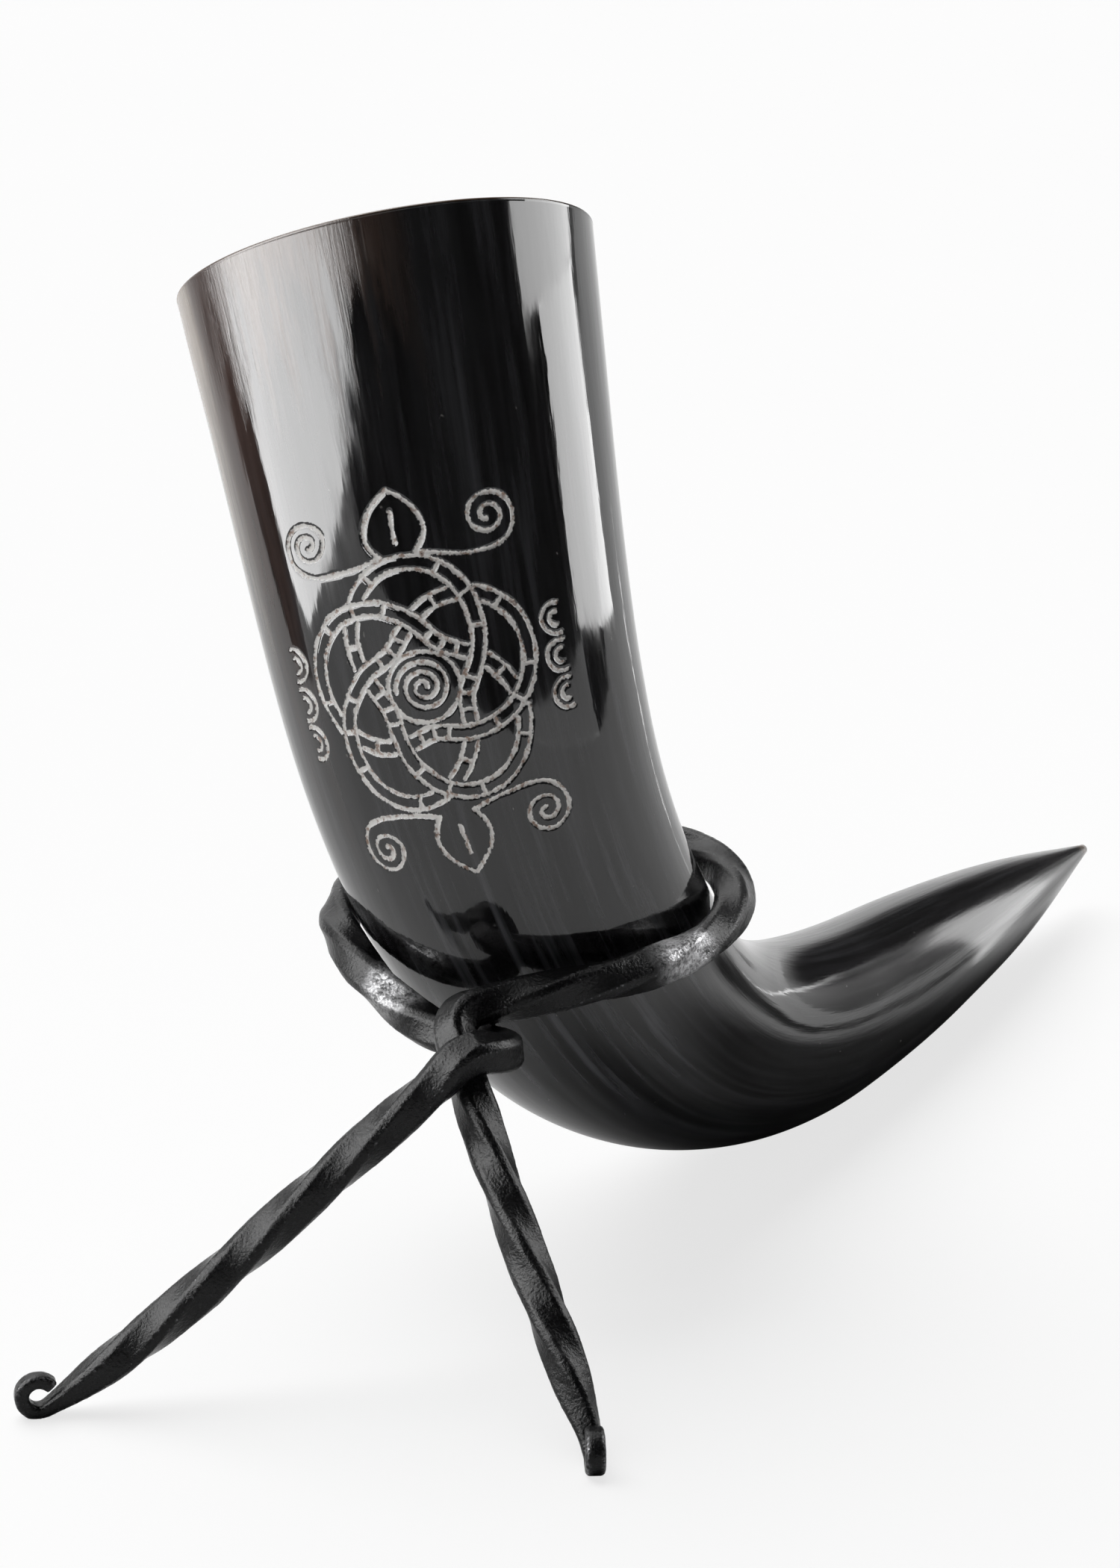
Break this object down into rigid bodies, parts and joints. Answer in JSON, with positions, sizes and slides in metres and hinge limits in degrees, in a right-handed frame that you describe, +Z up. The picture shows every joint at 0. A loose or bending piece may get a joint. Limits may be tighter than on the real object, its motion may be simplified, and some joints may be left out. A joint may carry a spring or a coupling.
{
  "type": "drinking horn with stand",
  "caption": "Polished animal horn cup with a curved solid tip, engraved below its mouth, standing in a twisted forged iron ring whose bar ends run on as scroll-footed legs.",
  "frame": {"origin": "on the ground, at the middle of the part's outline seen from above", "axes": "+Z up; -Y towards the stand's feet, the side the picture was taken from; +X to the right from there"},
  "size_m": [0.228, 0.3016, 0.2105],
  "materials": {
    "horn": "gloss",
    "sealing_coat": "satin",
    "forged_iron": "satin"
  },
  "bodies": {
    "stand": {"stand_bar": "forged_iron"},
    "horn": {"horn_shell": "horn", "inner_sealing_coat": "sealing_coat"}
  },
  "joints": [
    {"name": "horn_draw", "type": "hinge", "parent": "stand", "child": "horn", "pos_m": [0.03835, 0.08806, 0.13333], "axis": [-0.8337, 0.4813, -0.2706], "range_deg": [0, 8]}
  ]
}
